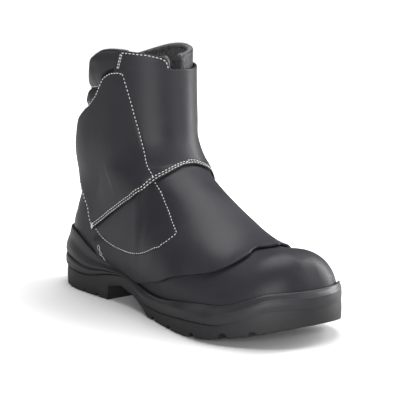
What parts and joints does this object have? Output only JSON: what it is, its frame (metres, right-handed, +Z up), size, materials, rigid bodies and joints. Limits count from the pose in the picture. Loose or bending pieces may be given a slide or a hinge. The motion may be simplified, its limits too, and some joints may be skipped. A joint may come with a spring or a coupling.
{
  "type": "foundry boot",
  "caption": "Ankle-high pull-on foundry boot for the right foot, hollow and open at the collar, with a wide stitched covering flap over the instep and a lugged two-layer sole.",
  "frame": {"origin": "centre of the heel's flat rest on the floor", "axes": "+X to the toe, +Z up, +Y to the inner side of the right foot"},
  "size_m": [0.3088, 0.1167, 0.2125],
  "materials": {
    "leather": "matte to satin black grain",
    "padding": "soft quilted black grain over foam",
    "midsole": "satin black moulded foam",
    "outsole": "matte black, fine stipple at the toe",
    "insole": "dark felt"
  },
  "bodies": {
    "root": {"upper": "leather", "flap_shaft": "leather", "flap_instep": "leather", "collar_padding": "padding", "insole": "insole", "midsole": "midsole", "outsole": "outsole"}
  },
  "joints": []
}
